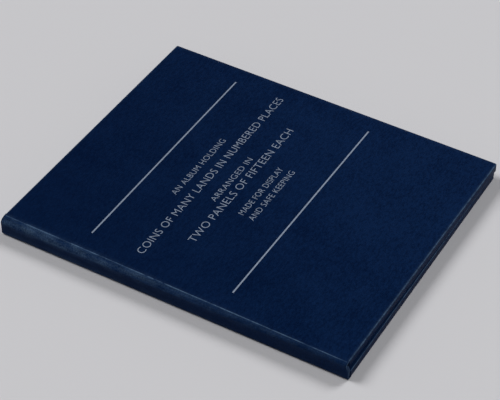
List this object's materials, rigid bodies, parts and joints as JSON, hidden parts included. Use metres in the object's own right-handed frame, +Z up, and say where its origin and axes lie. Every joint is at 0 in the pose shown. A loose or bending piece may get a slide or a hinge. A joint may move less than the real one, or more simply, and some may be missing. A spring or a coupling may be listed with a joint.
{
  "type": "coin album",
  "caption": "Closed coin album: two thick leatherette-wrapped panels of coins behind clear sheets, hinged on a stiffened spine, with foil rules on the front.",
  "frame": {"origin": "centre of the closed album's box, on the surface it lies on", "axes": "+X from the spine to the fore-edge, +Y from the tail to the head of the book, +Z up through the front panel"},
  "size_m": [0.2466, 0.2944, 0.015],
  "materials": {
    "leatherette": "satin",
    "greyboard": "matte",
    "velvet": "matte",
    "tray_card": "matte",
    "clear_sheet": "gloss",
    "caption_card": "matte",
    "hinge_cloth": "matte",
    "silver": "satin",
    "foil": "satin"
  },
  "bodies": {
    "back_panel": {"back_leatherette": "leatherette", "back_cover_board": "greyboard", "back_head_rail": "greyboard", "back_tail_rail": "greyboard", "back_fore_edge_rail": "greyboard", "back_spine_rail": "greyboard", "back_velvet": "velvet", "back_coin_tray": "tray_card", "back_window": "clear_sheet", "back_caption_card": "caption_card", "back_hinge_cloth": "hinge_cloth", "coin_16": "silver", "coin_17": "silver", "coin_18": "silver", "coin_19": "silver", "coin_20": "silver", "coin_21": "silver", "coin_22": "silver", "coin_23": "silver", "coin_24": "silver", "coin_25": "silver", "coin_26": "silver", "coin_27": "silver", "coin_28": "silver", "coin_29": "silver", "coin_30": "silver"},
    "spine": {"spine_board": "greyboard", "spine_leatherette": "leatherette", "spine_lining": "hinge_cloth"},
    "front_panel": {"front_leatherette": "leatherette", "front_cover_board": "greyboard", "front_head_rail": "greyboard", "front_tail_rail": "greyboard", "front_fore_edge_rail": "greyboard", "front_spine_rail": "greyboard", "front_velvet": "velvet", "front_coin_tray": "tray_card", "front_window": "clear_sheet", "front_caption_card": "caption_card", "front_hinge_cloth": "hinge_cloth", "coin_01": "silver", "coin_02": "silver", "coin_03": "silver", "coin_04": "silver", "coin_05": "silver", "coin_06": "silver", "coin_07": "silver", "coin_08": "silver", "coin_09": "silver", "coin_10": "silver", "coin_11": "silver", "coin_12": "silver", "coin_13": "silver", "coin_14": "silver", "coin_15": "silver", "upper_rule": "foil", "lower_rule": "foil", "title_foil": "foil"}
  },
  "joints": [
    {"name": "spine_hinge", "type": "hinge", "parent": "back_panel", "child": "spine", "pos_m": [-0.12276, 0, 0.0005], "axis": [0, -1, 0], "range_deg": [0, 90]},
    {"name": "cover_hinge", "type": "hinge", "parent": "spine", "child": "front_panel", "pos_m": [-0.12276, 0, 0.0145], "axis": [0, -1, 0], "range_deg": [0, 90]}
  ]
}
